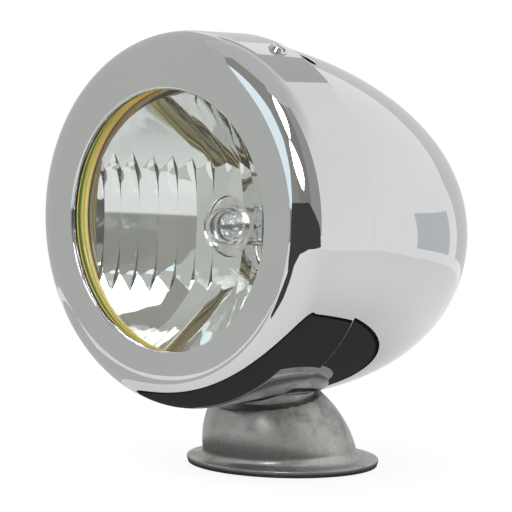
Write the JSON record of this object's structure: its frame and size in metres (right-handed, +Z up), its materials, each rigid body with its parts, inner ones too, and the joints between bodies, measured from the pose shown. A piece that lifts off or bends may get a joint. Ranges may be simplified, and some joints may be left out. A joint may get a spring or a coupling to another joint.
{
  "type": "bullet auxiliary lamp",
  "caption": "Chrome bullet-shaped vehicle lamp with a clear lens, fluted reflector and halogen capsule, swivelling on a leaning domed pedestal with a threaded mount.",
  "frame": {"origin": "centre of the mounting thread's mouth under the foot, on the plane that the rubber pad rests on", "axes": "+Z up along the swivel bolt, -Y the way the lamp shines, +X to the side of the bezel screw"},
  "size_m": [0.114, 0.1197, 0.136],
  "materials": {
    "shell_chrome": "mirror chrome plate",
    "satin_pedestal": "worn satin plate",
    "fastener_steel": "bright zinc plate",
    "plated_ring": "yellowish zinc plate",
    "black_rubber": "matt black rubber",
    "seal_rubber": "olive-yellow moulded rubber",
    "lens_glass": "clear polished glass",
    "reflector_mirror": "vacuum-metallised mirror",
    "quartz": "clear quartz",
    "bulb_metal": "bright nickel plate",
    "ceramic": "unglazed ceramic",
    "tungsten": "drawn dark wire",
    "friction_fibre": "black pressed fibre"
  },
  "bodies": {
    "foot": {"pedestal": "satin_pedestal", "base_pad": "black_rubber", "swivel_washer": "friction_fibre", "clamp_bolt": "fastener_steel", "clamp_washer": "fastener_steel", "crown_washer": "fastener_steel", "spring_washer": "fastener_steel", "coupling_nut": "fastener_steel"},
    "lamp_head": {"housing": "shell_chrome", "bezel": "shell_chrome", "bezel_screw": "fastener_steel", "bezel_nut": "fastener_steel", "lens": "lens_glass", "lens_gasket": "black_rubber", "lens_seal": "seal_rubber", "reflector": "reflector_mirror", "retaining_ring": "plated_ring", "ring_screws": "fastener_steel", "bulb_capsule": "quartz", "bulb_sleeve": "bulb_metal", "bulb_ceramic": "ceramic", "bulb_blade": "bulb_metal", "filament": "tungsten", "wire_grommet": "black_rubber"},
    "clip": {"bulb_clip": "fastener_steel"}
  },
  "joints": [
    {"name": "head_swivel", "type": "hinge", "parent": "foot", "child": "lamp_head", "pos_m": [0, 0, 0.0241], "axis": [0, 0, 1], "range_deg": [-120, 120]},
    {"name": "clip_hinge", "type": "hinge", "parent": "lamp_head", "child": "clip", "pos_m": [0, -0.00978, 0.09259], "axis": [1, 0, 0], "range_deg": [0, 70]}
  ]
}
